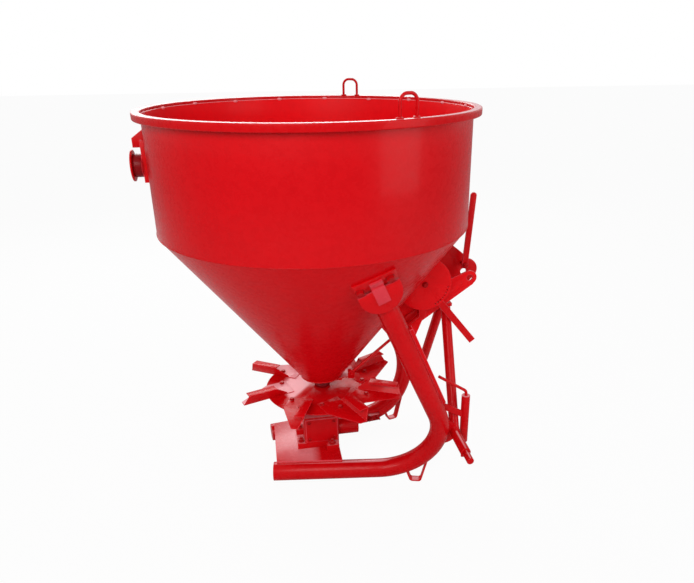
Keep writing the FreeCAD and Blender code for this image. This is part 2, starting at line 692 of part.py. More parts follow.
def flat_bar(x, z, angle, length, width, low_y, high_y, square_end=0.0):
    """A flat bar with round ends in the upright plane along the machine; square_end squares the far one."""
    bar = Part.makeBox(length + square_end, high_y - low_y, width, Vector(0, low_y, -width / 2))
    bar = bar.fuse([cylinder_y(width / 2, 0, 0, low_y, high_y),
                    cylinder_y(width / 2, length, 0, low_y, high_y)])
    bar = bar.removeSplitter()
    bar.rotate(Vector(0, 0, 0), Vector(0, -1, 0), angle)
    bar.translate(Vector(x, 0, z))
    return bar


def dosage_lever():
    low, high = lever_y(), lever_y() + LEVER_THICKNESS
    hand = flat_bar(quadrant_x(), QUADRANT_Z, LEVER_ANGLE, LEVER_REACH, LEVER_WIDTH, low, high,
                    LEVER_WIDTH / 2)
    crank = flat_bar(quadrant_x(), QUADRANT_Z, CRANK_ANGLE, CRANK_ARM, LEVER_WIDTH, low, high)
    top_x, top_z = crank_end()
    pin = cylinder_y(ROD_PIN_R, top_x, top_z, low, ROD_Y + ROD_EYE_WIDTH / 2 + PIN_STANDS_OUT)
    lever = hand.fuse([crank, pin]).removeSplitter()
    return lever.cut(cylinder_y(BOLT_R + RUNNING_GAP, quadrant_x(), QUADRANT_Z, low, high))


def lever_bolt():
    inner = -HITCH_HALF_GAP - HITCH_PLATE
    return cylinder_y(BOLT_R, quadrant_x(), QUADRANT_Z, QUADRANT_Y - BOLT_HEAD, inner)


def quadrant_plate():
    plate = cylinder_y(QUADRANT_R, quadrant_x(), QUADRANT_Z, QUADRANT_Y, QUADRANT_Y + QUADRANT_PLATE)
    plate = plate.cut(cone_solid())
    cuts = [cylinder_y(BOLT_R, quadrant_x(), QUADRANT_Z, QUADRANT_Y, QUADRANT_Y + QUADRANT_PLATE)]
    step = (QUADRANT_LAST_HOLE - QUADRANT_FIRST_HOLE) / (QUADRANT_HOLES - 1)
    for index in range(QUADRANT_HOLES):
        angle = math.radians(QUADRANT_FIRST_HOLE + index * step)
        cuts.append(cylinder_y(QUADRANT_HOLE_R, quadrant_x() + QUADRANT_HOLE_CIRCLE * math.cos(angle),
                               QUADRANT_Z + QUADRANT_HOLE_CIRCLE * math.sin(angle),
                               QUADRANT_Y, QUADRANT_Y + QUADRANT_PLATE))
    return plate.cut(cuts)


def control_lever():
    half = CONTROL_THICKNESS / 2
    bar = flat_bar(CONTROL_X, CONTROL_Z, 90.0 - CONTROL_LEAN, CONTROL_LENGTH, CONTROL_WIDTH, -half, half)
    return bar.cut(cylinder_y(BOLT_R + RUNNING_GAP, CONTROL_X, CONTROL_Z, -half, half))


def control_bolt():
    return cylinder_y(BOLT_R, CONTROL_X, CONTROL_Z, -CONTROL_THICKNESS / 2 - BOLT_HEAD, HITCH_HALF_GAP)


# ---- headstock ----------------------------------------------------------------------------
def top_link_bore(low, high):
    return cylinder_y(TOP_LINK_R, TOP_LINK_X, TOP_LINK_Z, low, high)


def plate_outline(points, low_y):
    return prism([Vector(x, low_y, z) for x, z in points], Vector(0, HITCH_PLATE, 0))


def right_hitch_plate():
    low = -HITCH_HALF_GAP - HITCH_PLATE
    body = plate_outline(RIGHT_PLATE_OUTLINE, low)
    end = cylinder_y(RIGHT_ARM_R, TOP_LINK_X, TOP_LINK_Z, low, low + HITCH_PLATE)
    plate = body.fuse(end).removeSplitter().cut(cone_solid())
    return plate.cut(top_link_bore(low, low + HITCH_PLATE))


def left_hitch_plate():
    low = HITCH_HALF_GAP
    body = plate_outline(LEFT_PLATE_OUTLINE, low)
    end = cylinder_y(LEFT_ARM_R, LEFT_ARM_X, LEFT_ARM_Z, low, low + HITCH_PLATE)
    plate = body.fuse(end).removeSplitter().cut(cone_solid())
    return plate.cut(top_link_bore(low, low + HITCH_PLATE))


def leg_top_x():
    return quadrant_x() + LEG_TOP_OUT


def hitch_spacer():
    return Part.makeBox(SPACER_LENGTH, 2 * HITCH_HALF_GAP, SPACER_HEIGHT,
                        Vector(leg_top_x() - SPACER_LENGTH / 2, -HITCH_HALF_GAP, HITCH_PLATE_LOW))


def leg_points():
    return [Vector(leg_top_x(), -LEG_TOP_Y, HITCH_PLATE_LOW), Vector(LEG_FOOT_X, -LEG_FOOT_Y, LOWER_HITCH_Z),
            Vector(LEG_FOOT_X, -SHOULDER_Y, LOWER_HITCH_Z)]


def leg_bar():
    points = leg_points()
    points[0] = points[0] + (points[0] - points[1]).normalize() * LEG_TRIM
    return rod(points, LEG_R, LEG_BEND_R)


def headstock_leg(side):
    size = 4 * LEG_TRIM
    above = Part.makeBox(size, size, size,
                         Vector(leg_top_x() - size / 2, -LEG_TOP_Y - size / 2, HITCH_PLATE_LOW))
    return for_side(leg_bar().cut(above), side)


def lower_hitch_pin(side):
    low = -SHOULDER_Y - LOWER_PIN_LENGTH
    pin = cylinder_y(LOWER_PIN_R, LEG_FOOT_X, LOWER_HITCH_Z, low, -SHOULDER_Y)
    end = pin.Edges[2] if pin.Edges[2].Closed else pin.Edges[0]
    return for_side(pin.makeChamfer(LOWER_PIN_CHAMFER, [end]), side)


def hitch_gusset(side):
    middle = -(TUBE_HALF_GAP + LEG_FOOT_Y) / 2 - GUSSET_OUTWARD
    half = GUSSET_THICKNESS / 2
    plate = cylinder_y(GUSSET_R, GUSSET_X, GUSSET_Z, middle - half, middle + half)
    plate = plate.cut([tube_bar(TUBE_R), leg_bar()])
    centre = Part.Vertex(GUSSET_X, middle, GUSSET_Z)
    return for_side(min(plate.Solids, key=lambda solid: solid.distToShape(centre)[0]), side)


# ---- latch --------------------------------------------------------------------------------
def latch_sleeve():
    tube = Part.makeCylinder(SLEEVE_R, SLEEVE_HEIGHT, Vector(LATCH_X, LATCH_Y, SLEEVE_LOW))
    start = Vector(LATCH_ARM_X, LATCH_ARM_Y, LATCH_ARM_REAR_Z)
    end = Vector(LATCH_X - LATCH_ARM_OVERLAP, LATCH_Y, LATCH_ARM_FRONT_Z)
    side = UP.cross(end - start).normalize() * (LATCH_ARM_THICKNESS / 2)
    half = UP * (LATCH_ARM_HEIGHT / 2)
    arm = prism([start - side - half, start + side - half, start + side + half, start - side + half],
                end - start)
    arm = arm.cut(tube_bar(TUBE_R))
    arm = sorted(arm.Solids, key=lambda solid: -solid.BoundBox.XMax)[0]
    bore = Part.makeCylinder(LATCH_ROD_R + RUNNING_GAP, SLEEVE_HEIGHT, Vector(LATCH_X, LATCH_Y, SLEEVE_LOW))
    return tube.fuse(arm).removeSplitter().cut(bore)


def latch_rod():
    top = SLEEVE_LOW + SLEEVE_HEIGHT + LATCH_BEND_ABOVE
    points = [Vector(LATCH_X, LATCH_Y, LATCH_ROD_LOW), Vector(LATCH_X, LATCH_Y, top),
              Vector(LATCH_HANDLE_X, LATCH_Y, LATCH_HANDLE_Z)]
    bar = rod(points, LATCH_ROD_R, LATCH_BEND_R)
    pin = cylinder_y(LATCH_CROSS_PIN_R, LATCH_X, LATCH_ROD_LOW + LATCH_PIN_UP,
                     LATCH_Y - LATCH_CROSS_PIN_LENGTH / 2, LATCH_Y + LATCH_CROSS_PIN_LENGTH / 2)
    return bar.fuse(pin).removeSplitter()


# ---- rest loops ---------------------------------------------------------------------------
def rest_loop(side):
    """A flat-bar strap under the tube's bend, that stands on the floor."""
    spread = math.tan(math.radians(LOOP_SPLAY))
    middle_x = (LOOP_REAR + LOOP_FRONT) / 2
    middle_y = -TUBE_HALF_GAP - LOOP_OUTWARD
    def at(x, z):
        return Vector(x, middle_y - (x - middle_x) * spread, z)
    half = LOOP_STRAP / 2
    points = [at(LOOP_REAR, LOOP_REAR_HIGH), at(LOOP_FLOOR_REAR, half),
              at(LOOP_FLOOR_FRONT, half), at(LOOP_FRONT, LOOP_FRONT_HIGH)]
    path = rounded_path(points, LOOP_BEND_R)
    along = (points[1] - points[0]).normalize()
    across = UP.cross(at(1, 0) - at(0, 0)).normalize()
    thick = along.cross(across).normalize() * half
    wide = across * (LOOP_WIDTH / 2)
    start = points[0]
    section = Part.makePolygon([start - thick - wide, start + thick - wide, start + thick + wide,
                                start - thick + wide, start - thick - wide])
    strap = path.makePipeShell([section], True, False)
    strap = strap.cut(tube_bar(TUBE_R))
    return for_side(sorted(strap.Solids, key=lambda solid: solid.BoundBox.ZMin)[0], side)


# ---- rear marker --------------------------------------------------------------------------
def marker_bracket():
    depth = MARKER_CHANNEL_DEPTH
    height = MARKER_CHANNEL_HIGH - MARKER_CHANNEL_LOW
    block = Part.makeBox(depth + MARKER_COPE, MARKER_CHANNEL_WIDTH, height,
                         Vector(-HOPPER_R - depth, -MARKER_CHANNEL_WIDTH / 2, MARKER_CHANNEL_LOW))
    hollow = Part.makeBox(depth + MARKER_COPE, MARKER_CHANNEL_WIDTH - 2 * MARKER_SHEET, height,
                          Vector(-HOPPER_R - depth + MARKER_SHEET,
                                 -MARKER_CHANNEL_WIDTH / 2 + MARKER_SHEET, MARKER_CHANNEL_LOW))
    channel = block.cut(hollow)
    stem_rear = MARKER_X + MARKER_THICKNESS
    stem = Part.makeCylinder(MARKER_STEM_R, -HOPPER_R - depth - stem_rear,
                             Vector(stem_rear, 0, MARKER_Z), Vector(1, 0, 0))
    half = HOOD_SHEET / 2
    hood_front = -HOPPER_R + MARKER_COPE
    hood_rear = -HOPPER_R - HOOD_STANDS_OUT
    hood = prism([Vector(hood_front, -half, HOOD_TOP), Vector(hood_front, -half, HOOD_LOW),
                  Vector(hood_rear, -half, HOOD_LOW), Vector(hood_rear, -half, HOOD_LOW + HOOD_LIP)],
                 Vector(0, HOOD_SHEET, 0))
    wall = Part.makeCylinder(HOPPER_R, RIM_TOP_Z - JUNCTION_Z, Vector(0, 0, JUNCTION_Z))
    return channel.fuse([stem, hood]).removeSplitter().cut(wall)


def rear_marker():
    return Part.makeCylinder(MARKER_R, MARKER_THICKNESS, Vector(MARKER_X, 0, MARKER_Z), Vector(1, 0, 0))


def parts():
    made = {
        "hopper_shell": hopper_shell(),
        "hopper_cone": hopper_cone(),
        "hopper_rim": hopper_rim(),
        "base_plate": base_plate(),
        "gearbox_housing": gearbox_housing(),
        "gearbox_cover": gearbox_cover(),
        "input_guard": input_guard(),
        "input_shaft": input_shaft(),
        "spinner_spindle": spinner_spindle(),
        "spinner_disc": spinner_disc(),
        "spinner_vanes": spinner_vanes(),
        "agitator": agitator(),
        "outlet_plate": outlet_plate(),
        "gate_guides": gate_guides(),
        "shutter_gate": shutter_gate(),
        "shutter_rod": shutter_rod(),
        "dosage_lever": dosage_lever(),
        "lever_bolt": lever_bolt(),
        "quadrant_plate": quadrant_plate(),
        "control_lever": control_lever(),
        "control_bolt": control_bolt(),
        "hitch_plate_right": right_hitch_plate(),
        "hitch_plate_left": left_hitch_plate(),
        "hitch_spacer": hitch_spacer(),
        "latch_sleeve": latch_sleeve(),
        "latch_rod": latch_rod(),
        "marker_bracket": marker_bracket(),
        "rear_marker": rear_marker(),
    }
    for side, label in ((LEFT, "left"), (RIGHT, "right")):
        made["lifting_lug_" + label] = lifting_lug(side)
        made["side_tube_" + label] = side_tube(side)
        made["tube_rib_" + label] = tube_rib(side)
        made["frame_bracket_" + label] = frame_bracket(side)
        made["headstock_leg_" + label] = headstock_leg(side)
        made["lower_hitch_pin_" + label] = lower_hitch_pin(side)
        made["hitch_gusset_" + label] = hitch_gusset(side)
        made["rest_loop_" + label] = rest_loop(side)
    return made


os.makedirs("parts", exist_ok=True)
for part_name, part_shape in parts().items():
    save(part_shape, part_name)
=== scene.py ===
import json
import math
import bmesh
import bpy
from mathutils import Matrix, Vector
from mathutils.bvhtree import BVHTree


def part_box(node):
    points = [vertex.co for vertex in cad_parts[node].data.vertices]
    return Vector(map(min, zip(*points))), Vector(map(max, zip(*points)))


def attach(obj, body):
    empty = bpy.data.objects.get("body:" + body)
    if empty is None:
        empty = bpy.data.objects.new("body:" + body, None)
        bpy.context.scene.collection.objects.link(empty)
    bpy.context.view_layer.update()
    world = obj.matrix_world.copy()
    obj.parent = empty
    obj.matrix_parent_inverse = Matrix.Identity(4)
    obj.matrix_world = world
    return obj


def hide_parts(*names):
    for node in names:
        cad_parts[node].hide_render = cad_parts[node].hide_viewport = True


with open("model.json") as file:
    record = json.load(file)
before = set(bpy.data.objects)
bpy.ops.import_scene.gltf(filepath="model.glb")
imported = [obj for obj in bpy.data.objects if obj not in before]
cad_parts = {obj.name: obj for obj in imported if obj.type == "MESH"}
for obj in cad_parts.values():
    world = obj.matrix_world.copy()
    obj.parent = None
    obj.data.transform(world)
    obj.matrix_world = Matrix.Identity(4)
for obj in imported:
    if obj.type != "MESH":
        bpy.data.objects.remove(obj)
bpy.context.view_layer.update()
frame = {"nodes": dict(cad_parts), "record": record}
NODES = frame["nodes"]
BODY_OF = {node: body for body, nodes in frame["record"]["behaviour"]["bodies"].items() for node in nodes}


# ---- camera, floor and light ------------------------------------------------------------
def direction(azimuth, elevation):
    """The way that a line with these angles, in degrees, points."""
    a, e = math.radians(azimuth), math.radians(elevation)
    return Vector((math.cos(e) * math.cos(a), math.cos(e) * math.sin(a), math.sin(e)))


def aimed(forward, roll=0.0):
    """The turn of a camera or lamp that looks forward."""
    forward = forward.normalized()
    right = forward.cross(Vector((0, 0, 1))).normalized()
    up = right.cross(forward)
    turn = Matrix.Rotation(math.radians(roll), 3, -forward)
    right, up = turn @ right, turn @ up
    return Matrix((right, up, -forward)).transposed().to_4x4()


CAMERA_AT = Vector((-0.2199, -2.2278, 1.6555))
camera = bpy.data.objects.new("camera", bpy.data.cameras.new("camera"))
bpy.context.scene.collection.objects.link(camera)
camera.matrix_world = Matrix.Translation(CAMERA_AT) @ aimed(direction(79.7, -22.4), -0.4)
camera.data.lens = 31.12
camera.data.shift_x = -0.0326
camera.data.shift_y = 0.0157
camera.data.clip_start = 0.05
bpy.context.scene.camera = camera
bpy.context.scene.view_settings.view_transform = "Standard"


def linear(code):
    """sRGB hex to linear light."""
    out = []
    for i in (0, 2, 4):
        c = int(code[i:i + 2], 16) / 255
        out.append(c / 12.92 if c <= 0.04045 else ((c + 0.055) / 1.055) ** 2.4)
    return (*out, 1.0)


def add(tree, kind, inputs=None, **settings):
    """One node with its settings; inputs maps a socket's name or number to a value or another socket."""
    node = tree.nodes.new(kind)
    for key, value in settings.items():
        setattr(node, key, value)
    for key, value in (inputs or {}).items():
        socket = node.inputs[key]
        if isinstance(value, bpy.types.NodeSocket):
            tree.links.new(value, socket)
        else:
            socket.default_value = value
    return node


def area_light(name, at, aim, size, power):
    """A softbox at one point, turned to another; size in metres, power in watts."""
    data = bpy.data.lights.new(name, "AREA")
    data.shape = "RECTANGLE"
    data.size, data.size_y = size
    data.energy = power
    light = bpy.data.objects.new(name, data)
    bpy.context.scene.collection.objects.link(light)
    light.matrix_world = Matrix.Translation(at) @ aimed(Vector(aim) - Vector(at))


area_light("key_softbox", (-1.6, -3.6, 3.2), (0, 0, 0.8), (2.6, 2.2), 107)
area_light("fill_softbox", (3.2, -2.6, 1.6), (0, 0, 0.7), (2.2, 2.4), 36)
area_light("rear_softbox", (-0.7, 3.7, 2.75), (0, 0, 0.4), (4.4, 1.5), 100)
area_light("top_softbox", (0, 0.2, 4.2), (0, 0.2, 0), (2.2, 2.2), 84)

world = bpy.data.worlds.new("studio")
bpy.context.scene.world = world
world.use_nodes = True
tree = world.node_tree
tree.nodes.clear()
path = add(tree, "ShaderNodeLightPath")
seen = add(tree, "ShaderNodeMath", {0: path.outputs["Is Camera Ray"], 1: path.outputs["Is Glossy Ray"]},
           operation="MAXIMUM")
seen = add(tree, "ShaderNodeMath", {0: seen.outputs[0], 1: path.outputs["Is Transmission Ray"]},
           operation="MAXIMUM")
room = add(tree, "ShaderNodeBackground", {"Color": (0.95, 0.97, 1.0, 1), "Strength": 0.42})
white = add(tree, "ShaderNodeBackground", {"Color": (1, 1, 1, 1), "Strength": 1.0})
both = add(tree, "ShaderNodeMixShader", {0: seen.outputs[0], 1: room.outputs[0], 2: white.outputs[0]})
add(tree, "ShaderNodeOutputWorld", {"Surface": both.outputs[0]})


def new_material(name):
    """A material without nodes, and its tree."""
    material = bpy.data.materials.new(name)
    material.use_nodes = True
    material.node_tree.nodes.clear()
    return material, material.node_tree


def floor_material():
    """Pale paper that glows to the camera, so that it ends without an edge."""
    material, tree = new_material("pale_studio_floor")
    path = add(tree, "ShaderNodeLightPath")
    paper = add(tree, "ShaderNodeBsdfPrincipled", {"Base Color": linear("D0D0D0"), "Roughness": 0.9})
    glow = add(tree, "ShaderNodeEmission", {"Color": (1, 1, 1, 1), "Strength": 1.0})
    share = add(tree, "ShaderNodeMath", {0: path.outputs["Is Camera Ray"], 1: 0.95}, operation="MULTIPLY")
    mix = add(tree, "ShaderNodeMixShader", {0: share.outputs[0], 1: paper.outputs[0], 2: glow.outputs[0]})
    add(tree, "ShaderNodeOutputMaterial", {"Surface": mix.outputs[0]})
    return material


floor_mesh = bpy.data.meshes.new("floor")
FAR = 30                   # half the floor's side, in metres
floor_mesh.from_pydata([(-FAR, -FAR, 0), (FAR, -FAR, 0), (FAR, FAR, 0), (-FAR, FAR, 0)], [], [(0, 1, 2, 3)])
floor = bpy.data.objects.new("floor", floor_mesh)
bpy.context.scene.collection.objects.link(floor)
floor_mesh.materials.append(floor_material())


# ---- materials --------------------------------------------------------------------------
PATCH_SCALE = 2.6          # fading in patches about 400 mm across
SPECK_SCALE = 38.0         # uneven gloss and dust, about 26 mm
PEEL_SCALE = 420.0         # orange peel about 2.4 mm across
SAND_SCALE = 130.0         # cast grain; the real 1 mm grain is drawn at 8 mm so that it shows
SWELL_SCALE = (5.0, 5.0, 1.1)   # the rolled sheet's waves, 200 mm round the hopper and 900 mm down it
UPWARD = (0.965, 0.9985)   # painted pale sheen starts on slopes under 15 degrees
LEVEL = (0.9981, 0.9992)   # painted pale sheen on level plate only
# colour of the painted pale sheen on upward faces
PALE_SHEEN = "F4B0B6"


def enamel(name, code, shade, rough=0.26, peel=0.05, wave=0.0, sheen=0.8, grain=0.0, coat=0.06,
           gloss_level=0.09, sheen_facing=UPWARD, sheen_way=None, flat=False, reach=None):
    """Sprayed enamel: colour that fades in broad patches, a painted pale sheen on what faces upwards,
    orange peel, and the sheet's waves or the casting's grain underneath. The painted sheen can be kept to
    one side, by a direction with its start and end, and within reach of the spinner's axis."""
    material, tree = new_material(name)
    place = add(tree, "ShaderNodeTexCoord").outputs["Object"]
    broad = add(tree, "ShaderNodeTexNoise", {"Vector": place, "Scale": PATCH_SCALE, "Detail": 4.0,
                                             "Roughness": 0.55})
    fine = add(tree, "ShaderNodeTexNoise", {"Vector": place, "Scale": SPECK_SCALE, "Detail": 5.0,
                                            "Roughness": 0.6})
    patch = add(tree, "ShaderNodeMapRange", {0: broad.outputs[0], 1: 0.30, 2: 0.72, 3: 0.0, 4: 1.0})
    fade = add(tree, "ShaderNodeMix", {0: patch.outputs[0], 6: linear(code), 7: linear(shade)},
               data_type="RGBA")
    speck = add(tree, "ShaderNodeMapRange", {0: fine.outputs[0], 1: 0.3, 2: 0.75, 3: 0.95, 4: 1.03})
    tone = add(tree, "ShaderNodeMix", {0: 1.0, 6: fade.outputs[2], 7: speck.outputs[0]}, data_type="RGBA",
               blend_type="MULTIPLY")
    facing = add(tree, "ShaderNodeSeparateXYZ", {
        0: add(tree, "ShaderNodeNewGeometry").outputs["True Normal" if flat else "Normal"]})
    # painted pale sheen: its share grows on faces turned upwards
    up = add(tree, "ShaderNodeMapRange", {0: facing.outputs[2], 1: sheen_facing[0], 2: sheen_facing[1], 3: 0.0, 4: sheen})
    keeps = [speck]
    if sheen_way:
        x, y, start, end = sheen_way
        way = add(tree, "ShaderNodeVectorMath", {0: place, 1: (x, y, 0.0)}, operation="DOT_PRODUCT")
        keeps.append(add(tree, "ShaderNodeMapRange", {0: way.outputs[1], 1: start, 2: end, 3: 0.0, 4: 1.0}))
    if reach:
        arm = add(tree, "ShaderNodeVectorMath", {0: place, 1: (1.0, 1.0, 0.0), 2: (-SPIN_X, 0.0, 0.0)},
                  operation="MULTIPLY_ADD")
        far = add(tree, "ShaderNodeVectorMath", {0: arm.outputs[0]}, operation="LENGTH")
        keeps.append(add(tree, "ShaderNodeMapRange", {0: far.outputs[1], 1: reach[0], 2: reach[1], 3: 1.0,
                                                      4: 0.0}))
    # the pale colour of the painted sheen is mixed in by this share
    sheen_share = up
    for keep in keeps:
        sheen_share = add(tree, "ShaderNodeMath", {0: sheen_share.outputs[0], 1: keep.outputs[0]},
                     operation="MULTIPLY")
    sheened = add(tree, "ShaderNodeMix", {0: sheen_share.outputs[0], 6: tone.outputs[2], 7: linear(PALE_SHEEN)},
                data_type="RGBA")
    gloss = add(tree, "ShaderNodeMapRange", {0: fine.outputs[0], 1: 0.3, 2: 0.7, 3: rough - 0.05,
                                             4: rough + 0.09})
    skin = add(tree, "ShaderNodeTexNoise", {"Vector": place, "Scale": PEEL_SCALE, "Detail": 2.0})
    bump = add(tree, "ShaderNodeBump", {"Height": skin.outputs[0], "Strength": peel, "Distance": 0.001})
    if wave:
        tall = add(tree, "ShaderNodeMapping", {"Vector": place, "Scale": SWELL_SCALE})
        swell = add(tree, "ShaderNodeTexNoise", {"Vector": tall.outputs[0], "Scale": 1.0, "Detail": 1.5})
        bump = add(tree, "ShaderNodeBump", {"Height": swell.outputs[0], "Strength": wave, "Distance": 0.03,
                                            "Normal": bump.outputs[0]})
    if grain:
        sand = add(tree, "ShaderNodeTexNoise", {"Vector": place, "Scale": SAND_SCALE, "Detail": 6.0})
        bump = add(tree, "ShaderNodeBump", {"Height": sand.outputs[0], "Strength": grain,
                                            "Distance": 0.0015, "Normal": bump.outputs[0]})
    paint = add(tree, "ShaderNodeBsdfPrincipled", {
        "Base Color": sheened.outputs[2], "Roughness": gloss.outputs[0], "Normal": bump.outputs[0],
        "Specular IOR Level": gloss_level, "Coat Weight": coat, "Coat Roughness": 0.09, "Coat IOR": 1.5})
    add(tree, "ShaderNodeOutputMaterial", {"Surface": paint.outputs[0]})
    return material


def steel(name, code, film_code, rough):
    """Turned steel: fine marks round the shaft, drawn coarser than real so that they show, and a
    brownish film of oil."""
    material, tree = new_material(name)
    place = add(tree, "ShaderNodeTexCoord").outputs["Object"]
    stretch = add(tree, "ShaderNodeMapping", {"Vector": place, "Scale": (900.0, 60.0, 60.0)})
    marks = add(tree, "ShaderNodeTexNoise", {"Vector": stretch.outputs[0], "Scale": 1.0, "Detail": 3.0})
    smear = add(tree, "ShaderNodeTexNoise", {"Vector": place, "Scale": 30.0, "Detail": 4.0})
    tone = add(tree, "ShaderNodeMix", {0: smear.outputs[0], 6: linear(code), 7: linear(film_code)},
               data_type="RGBA")
    gloss = add(tree, "ShaderNodeMapRange", {0: marks.outputs[0], 1: 0.3, 2: 0.7, 3: rough - 0.08,
                                             4: rough + 0.1})
    bump = add(tree, "ShaderNodeBump", {"Height": marks.outputs[0], "Strength": 0.08, "Distance": 0.0004})
    metal = add(tree, "ShaderNodeBsdfPrincipled", {"Base Color": tone.outputs[2], "Metallic": 1.0,
                                                   "Roughness": gloss.outputs[0],
                                                   "Normal": bump.outputs[0]})
    add(tree, "ShaderNodeOutputMaterial", {"Surface": metal.outputs[0]})
    return material


disc_low, disc_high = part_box("spinner_disc")
SPIN_X = (disc_low.x + disc_high.x) / 2

# rolled sheet of the hopper's wall: wavy, with a wet-looking coat
SHEET = enamel("red_enamel_on_rolled_sheet", "D60A13", "CE0811", wave=0.10)
# the cone's sheet: flatter waves and duller than the wall
FUNNEL = enamel("red_enamel_on_cone_sheet", "D80A13", "D00811", wave=0.06, coat=0.03, gloss_level=0.05)
# inside of the hopper, scuffed by the load: rougher, and its red painted brighter as painted light
INSIDE = enamel("red_enamel_inside_hopper", "F20C17", "E40A14", rough=0.36, coat=0.05)
# bent tubes and rods: long soft highlights
TUBE = enamel("red_enamel_on_tube", "D20810", "C6070E")
# flame-cut flat plate, with more orange peel
PLATE = enamel("red_enamel_on_plate", "DA0811", "CC070F", rough=0.30, peel=0.08)
# painted highlight along the plates' rounded edges
EDGE_HIGHLIGHT = enamel("red_enamel_painted_edge_highlight", "EC5A66", "E04450", rough=0.30, sheen=0.9)
# quadrant and right-hand plate, a brighter copy of the plate's enamel as painted light
PLATE_LIT = enamel("red_enamel_lit_copy_on_quadrant", "F20A14", "E60912", rough=0.28, peel=0.08)
# base plate, with a painted pale sheen on its rear part
BED = enamel("red_enamel_on_bed_plate", "D40811", "C6070F", rough=0.24, sheen=0.62, gloss_level=0.22,
             sheen_way=(-1.0, 0.0, 0.05, 0.09))
# cast iron of the gearbox, with its sand's grain under the paint
CAST = enamel("red_enamel_on_cast_iron", "D20810", "C0070E", rough=0.36, grain=0.35)
# the spinner's disc and vanes get a painted pale sheen on their level tops, on the rear left part up to this
# line
SHEEN_SIDE = (-0.80, 0.60, 0.058, 0.072)
DISC = enamel("red_enamel_on_spun_disc", "D20810", "C0070E", rough=0.28, sheen=0.95, sheen_facing=LEVEL,
              sheen_way=SHEEN_SIDE, flat=True, reach=(0.155, 0.175))
VANE = enamel("red_enamel_on_vanes", "D80811", "C8070F", rough=0.24, sheen=0.95, sheen_facing=LEVEL,
              sheen_way=SHEEN_SIDE, flat=True)
# painted highlight on the tacks inside the rim and the thin bead along them
TACK_HIGHLIGHT = enamel("red_enamel_painted_highlight_on_tacks", "F4A4AA", "EE8C94", rough=0.24, sheen=0.9)
# painted shade for the recess behind the rear marker and for the spindle
PAINTED_SHADE = enamel("red_enamel_painted_shade_in_recess", "8E0810", "7A070D", rough=0.40, sheen=0.20)
# the straps over the cone brackets, in a paler red with more coat
STRAP = enamel("red_enamel_paler_on_straps", "DE3C48", "D02C38", rough=0.22, sheen=0.5, coat=0.15)
# weld beads, rough under the paint
WELD = enamel("red_enamel_on_weld", "CE0911", "BE080E", rough=0.28, peel=0.10, grain=0.18)
# heads and nuts, with thin dull paint
FASTENER = enamel("red_enamel_on_fasteners", "B8070D", "A4060B", rough=0.32, peel=0.06, sheen=0.15)
# the drive shaft
STEEL = steel("turned_steel", "9A968E", "6E6A64", 0.34)


# ---- mesh tools -------------------------------------------------------------------------
def place(name, mesh, body, material, slot="red_enamel", stands_for=(), smooth=38.0):
    """The mesh as a piece of the scene, on its body; edges sharper than smooth, in degrees, stay sharp."""
    mesh.materials.clear()
    mesh.materials.append(material)
    mesh.shade_smooth()
    mesh.set_sharp_from_angle(angle=math.radians(smooth))
    piece = bpy.data.objects.new(name, mesh)
    bpy.context.scene.collection.objects.link(piece)
    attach(piece, body)
    if stands_for:
        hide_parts(*stands_for)
    return piece


def from_bmesh(name, bm):
    """A mesh with its faces pointing outwards."""
    mesh = bpy.data.meshes.new(name)
    bmesh.ops.recalc_face_normals(bm, faces=bm.faces)
    bm.to_mesh(mesh)
    bm.free()
    return mesh


BEVEL_ANGLE = math.radians(32.0)    # sharper edges are rounded
FLAT_ANGLE = math.radians(0.6)      # faces nearer than this to one plane are merged
SAME_POINT, SLIVER = 0.00002, 0.00005


def soften(node, material, width, slot="red_enamel", highlight=None):
    """A copy of the CAD node, with merged flats and rounded edges, that stands for it."""
    bm = bmesh.new()
    bm.from_mesh(NODES[node].data)
    bmesh.ops.remove_doubles(bm, verts=bm.verts, dist=SAME_POINT)
    bmesh.ops.dissolve_degenerate(bm, edges=bm.edges, dist=SLIVER)
    bmesh.ops.dissolve_limit(bm, angle_limit=FLAT_ANGLE, verts=bm.verts, edges=bm.edges)
    mesh = from_bmesh(node + "_soft", bm)
    draft = bpy.data.objects.new("draft", mesh)
    bpy.context.scene.collection.objects.link(draft)
    bevel = draft.modifiers.new("round", "BEVEL")
    bevel.width = width
    bevel.segments = 2
    bevel.limit_method = "ANGLE"
    bevel.angle_limit = BEVEL_ANGLE
    bevel.use_clamp_overlap = True
    bevel.harden_normals = False
    # the rounded edges take the painted edge highlight
    if highlight:
        mesh.materials.append(material)
        mesh.materials.append(highlight)
        bevel.material = 1
    graph = bpy.context.evaluated_depsgraph_get()
    rounded = bpy.data.meshes.new_from_object(draft.evaluated_get(graph))
    bpy.data.objects.remove(draft)
    marks = [face.material_index for face in rounded.polygons]
    piece = place("visual_" + node, rounded, BODY_OF[node], material, slot, (node,))
    if highlight:
        piece.data.materials.append(highlight)
        piece.data.polygons.foreach_set("material_index", marks)


def lathe(profile, centre, segments=240):
    """A closed ring of the profile's (radius, height) points round a vertical axis."""
    bm = bmesh.new()
    rings = []
    for s in range(segments):
        a = 2 * math.pi * s / segments
        rings.append([bm.verts.new((centre[0] + r * math.cos(a), centre[1] + r * math.sin(a), z))
                      for r, z in profile])
    count = len(profile)
    for s in range(segments):
        one, two = rings[s], rings[(s + 1) % segments]
        for i in range(count):
            j = (i + 1) % count
            bm.faces.new((one[i], two[i], two[j], one[j]))
    return bm


def rounded_profile(points, radius, steps=4):
    """The closed profile with its corners rounded."""
    out = []
    count = len(points)
    for i in range(count):
        before, here, after = (Vector(points[(i + k) % count]) for k in (-1, 0, 1))
        back, ahead = before - here, after - here
        r = min(radius, back.length * 0.45, ahead.length * 0.45)
        a, b = here + back.normalized() * r, here + ahead.normalized() * r
        for k in range(steps + 1):
            t = k / steps
            out.append(tuple(a * (1 - t) ** 2 + here * 2 * t * (1 - t) + b * t ** 2))
    return out


